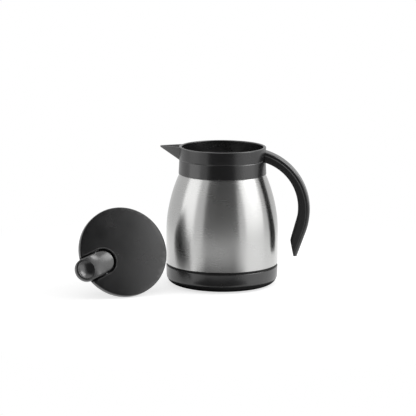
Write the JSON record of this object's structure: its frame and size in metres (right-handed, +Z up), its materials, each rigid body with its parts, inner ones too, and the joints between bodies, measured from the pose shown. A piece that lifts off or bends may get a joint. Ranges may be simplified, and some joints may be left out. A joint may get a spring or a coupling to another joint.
{
  "type": "vacuum carafe",
  "caption": "Bell-shaped steel vacuum carafe with a black base, beaked collar and C-shaped handle, its lift-off stopper lid with a thumb lever lying beside it.",
  "frame": {"origin": "centre of the foot pad's underside, on the table", "axes": "+Z up along the flask's axis, +X towards the handle, the pouring beak on -X"},
  "size_m": [0.2555, 0.1804, 0.1578],
  "materials": {
    "brushed_steel": "brushed around",
    "liner_steel": "satin",
    "getter_metal": "matt",
    "black_plastic": "satin",
    "dark_grip_plastic": "matt",
    "grey_plastic": "satin",
    "black_rubber": "matt",
    "silicone": "matt",
    "screw_steel": "plain",
    "spring_steel": "plain"
  },
  "bodies": {
    "carafe": {"outer_shell": "brushed_steel", "inner_liner": "liner_steel", "liner_bottom": "liner_steel", "shell_bottom": "liner_steel", "getter": "getter_metal", "vacuum_plug": "getter_metal", "base_cup": "black_plastic", "base_ring": "black_rubber", "foot_pad": "black_rubber", "collar": "black_plastic", "neck_gasket": "silicone", "handle_grip": "dark_grip_plastic", "handle_spine": "black_plastic", "handle_screws": "screw_steel"},
    "lid": {"stopper_body": "black_plastic", "lid_cover": "black_plastic", "cover_screws": "screw_steel", "lid_gasket": "silicone", "lever_pin": "screw_steel", "valve_guide": "grey_plastic", "valve_spring": "spring_steel"},
    "lever": {"thumb_lever": "black_plastic"},
    "valve": {"valve_rod": "grey_plastic", "valve_disc": "grey_plastic", "valve_seal": "silicone", "rod_clip": "screw_steel"}
  },
  "joints": [
    {"name": "lid_lift", "type": "slide", "parent": "carafe", "child": "lid", "axis": [0, 0, 1], "range_m": [0, 0.2]},
    {"name": "lever_press", "type": "hinge", "parent": "lid", "child": "lever", "pos_m": [-0.12857, -0.08621, 0.03785], "axis": [0.4915, -0.1796, -0.8522], "range_deg": [0, 8]},
    {"name": "valve_lift", "type": "slide", "parent": "lid", "child": "valve", "axis": [0.4101, -0.8154, 0.4085], "range_m": [0, 0.00409], "deforming": ["valve_spring"]}
  ],
  "couplings": [
    {"joint": "lever_press", "follows": "valve_lift", "rad_per_m": 34.13}
  ]
}
